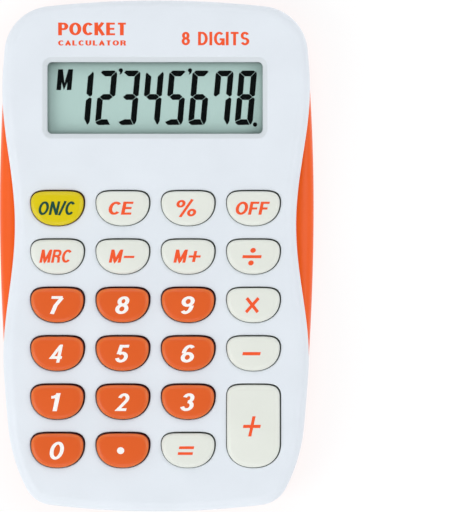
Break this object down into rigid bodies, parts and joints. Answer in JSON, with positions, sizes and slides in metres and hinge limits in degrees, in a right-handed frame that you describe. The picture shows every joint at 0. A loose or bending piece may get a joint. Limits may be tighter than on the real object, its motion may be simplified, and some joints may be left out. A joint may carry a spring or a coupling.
{
  "type": "pocket calculator",
  "caption": "Slim pocket calculator: white cover over an orange case drawn in at the waist, sprung keys, recessed display and sliding battery door.",
  "frame": {"origin": "middle of the flat back, which it lies on", "axes": "+Z out of the keys, +Y towards the display end, +X to the right of a person reading it"},
  "size_m": [0.061, 0.0984, 0.0117],
  "materials": {
    "white_shell": "fine satin moulded ABS, cool white",
    "orange_shell": "fine satin moulded ABS, orange",
    "clear_plastic": "clear polished acrylic",
    "black_adhesive": "thin double-sided foam tape",
    "black_plastic": "moulded black plastic",
    "polariser_film": "grey-green polarising film",
    "display_glass": "thin flat glass",
    "reflector_film": "silver-green reflective film",
    "pink_rubber": "layered conductive silicone strip",
    "board": "phenolic paper board with green solder resist",
    "black_resin": "black potting resin",
    "capacitor_body": "tan ceramic",
    "resistor_body": "black glazed chip",
    "grey_rubber": "translucent grey silicone",
    "carbon_rubber": "carbon-filled silicone",
    "cell_steel": "nickel-plated steel can",
    "contact_brass": "tinned spring brass",
    "screw_steel": "zinc-plated steel",
    "yellow_key": "moulded yellow plastic, dark green print",
    "orange_key": "moulded orange plastic, white print",
    "cream_key": "moulded pale cream-green plastic, orange print"
  },
  "bodies": {
    "case": {"front_cover": "white_shell", "rear_case": "orange_shell", "display_lens": "clear_plastic", "lens_adhesive": "black_adhesive", "lcd_frame": "black_plastic", "lcd_front_polariser": "polariser_film", "lcd_front_glass": "display_glass", "lcd_rear_glass": "display_glass", "lcd_reflector": "reflector_film", "zebra_strip": "pink_rubber", "circuit_board": "board", "chip_blob": "black_resin", "board_capacitors": "capacitor_body", "board_resistors": "resistor_body", "keypad_mat": "grey_rubber", "carbon_pills": "carbon_rubber", "battery_cell": "cell_steel", "battery_contact_plus": "contact_brass", "battery_contact_minus": "contact_brass", "board_screws": "screw_steel", "case_screws": "screw_steel"},
    "battery_door": {"battery_door": "orange_shell"},
    "key_on": {"key_on": "yellow_key"},
    "key_ce": {"key_ce": "cream_key"},
    "key_percent": {"key_percent": "cream_key"},
    "key_off": {"key_off": "cream_key"},
    "key_memory_recall": {"key_memory_recall": "cream_key"},
    "key_memory_minus": {"key_memory_minus": "cream_key"},
    "key_memory_plus": {"key_memory_plus": "cream_key"},
    "key_divide": {"key_divide": "cream_key"},
    "key_7": {"key_7": "orange_key"},
    "key_8": {"key_8": "orange_key"},
    "key_9": {"key_9": "orange_key"},
    "key_multiply": {"key_multiply": "cream_key"},
    "key_4": {"key_4": "orange_key"},
    "key_5": {"key_5": "orange_key"},
    "key_6": {"key_6": "orange_key"},
    "key_minus": {"key_minus": "cream_key"},
    "key_1": {"key_1": "orange_key"},
    "key_2": {"key_2": "orange_key"},
    "key_3": {"key_3": "orange_key"},
    "key_plus": {"key_plus": "cream_key"},
    "key_0": {"key_0": "orange_key"},
    "key_point": {"key_point": "orange_key"},
    "key_equals": {"key_equals": "cream_key"}
  },
  "joints": [
    {"name": "battery_door_slide", "type": "slide", "parent": "case", "child": "battery_door", "axis": [0, 1, 0], "range_m": [0, 0.02]},
    {"name": "key_on_press", "type": "slide", "parent": "case", "child": "key_on", "axis": [0, 0, -1], "range_m": [0, 0.0009], "stiffness_N_per_m": 300, "deforming": ["keypad_mat"]},
    {"name": "key_ce_press", "type": "slide", "parent": "case", "child": "key_ce", "axis": [0, 0, -1], "range_m": [0, 0.0009], "stiffness_N_per_m": 300, "deforming": ["keypad_mat"]},
    {"name": "key_percent_press", "type": "slide", "parent": "case", "child": "key_percent", "axis": [0, 0, -1], "range_m": [0, 0.0009], "stiffness_N_per_m": 300, "deforming": ["keypad_mat"]},
    {"name": "key_off_press", "type": "slide", "parent": "case", "child": "key_off", "axis": [0, 0, -1], "range_m": [0, 0.0009], "stiffness_N_per_m": 300, "deforming": ["keypad_mat"]},
    {"name": "key_memory_recall_press", "type": "slide", "parent": "case", "child": "key_memory_recall", "axis": [0, 0, -1], "range_m": [0, 0.0009], "stiffness_N_per_m": 300, "deforming": ["keypad_mat"]},
    {"name": "key_memory_minus_press", "type": "slide", "parent": "case", "child": "key_memory_minus", "axis": [0, 0, -1], "range_m": [0, 0.0009], "stiffness_N_per_m": 300, "deforming": ["keypad_mat"]},
    {"name": "key_memory_plus_press", "type": "slide", "parent": "case", "child": "key_memory_plus", "axis": [0, 0, -1], "range_m": [0, 0.0009], "stiffness_N_per_m": 300, "deforming": ["keypad_mat"]},
    {"name": "key_divide_press", "type": "slide", "parent": "case", "child": "key_divide", "axis": [0, 0, -1], "range_m": [0, 0.0009], "stiffness_N_per_m": 300, "deforming": ["keypad_mat"]},
    {"name": "key_7_press", "type": "slide", "parent": "case", "child": "key_7", "axis": [0, 0, -1], "range_m": [0, 0.0009], "stiffness_N_per_m": 300, "deforming": ["keypad_mat"]},
    {"name": "key_8_press", "type": "slide", "parent": "case", "child": "key_8", "axis": [0, 0, -1], "range_m": [0, 0.0009], "stiffness_N_per_m": 300, "deforming": ["keypad_mat"]},
    {"name": "key_9_press", "type": "slide", "parent": "case", "child": "key_9", "axis": [0, 0, -1], "range_m": [0, 0.0009], "stiffness_N_per_m": 300, "deforming": ["keypad_mat"]},
    {"name": "key_multiply_press", "type": "slide", "parent": "case", "child": "key_multiply", "axis": [0, 0, -1], "range_m": [0, 0.0009], "stiffness_N_per_m": 300, "deforming": ["keypad_mat"]},
    {"name": "key_4_press", "type": "slide", "parent": "case", "child": "key_4", "axis": [0, 0, -1], "range_m": [0, 0.0009], "stiffness_N_per_m": 300, "deforming": ["keypad_mat"]},
    {"name": "key_5_press", "type": "slide", "parent": "case", "child": "key_5", "axis": [0, 0, -1], "range_m": [0, 0.0009], "stiffness_N_per_m": 300, "deforming": ["keypad_mat"]},
    {"name": "key_6_press", "type": "slide", "parent": "case", "child": "key_6", "axis": [0, 0, -1], "range_m": [0, 0.0009], "stiffness_N_per_m": 300, "deforming": ["keypad_mat"]},
    {"name": "key_minus_press", "type": "slide", "parent": "case", "child": "key_minus", "axis": [0, 0, -1], "range_m": [0, 0.0009], "stiffness_N_per_m": 300, "deforming": ["keypad_mat"]},
    {"name": "key_1_press", "type": "slide", "parent": "case", "child": "key_1", "axis": [0, 0, -1], "range_m": [0, 0.0009], "stiffness_N_per_m": 300, "deforming": ["keypad_mat"]},
    {"name": "key_2_press", "type": "slide", "parent": "case", "child": "key_2", "axis": [0, 0, -1], "range_m": [0, 0.0009], "stiffness_N_per_m": 300, "deforming": ["keypad_mat"]},
    {"name": "key_3_press", "type": "slide", "parent": "case", "child": "key_3", "axis": [0, 0, -1], "range_m": [0, 0.0009], "stiffness_N_per_m": 300, "deforming": ["keypad_mat"]},
    {"name": "key_plus_press", "type": "slide", "parent": "case", "child": "key_plus", "axis": [0, 0, -1], "range_m": [0, 0.0009], "stiffness_N_per_m": 300, "deforming": ["keypad_mat"]},
    {"name": "key_0_press", "type": "slide", "parent": "case", "child": "key_0", "axis": [0, 0, -1], "range_m": [0, 0.0009], "stiffness_N_per_m": 300, "deforming": ["keypad_mat"]},
    {"name": "key_point_press", "type": "slide", "parent": "case", "child": "key_point", "axis": [0, 0, -1], "range_m": [0, 0.0009], "stiffness_N_per_m": 300, "deforming": ["keypad_mat"]},
    {"name": "key_equals_press", "type": "slide", "parent": "case", "child": "key_equals", "axis": [0, 0, -1], "range_m": [0, 0.0009], "stiffness_N_per_m": 300, "deforming": ["keypad_mat"]}
  ]
}
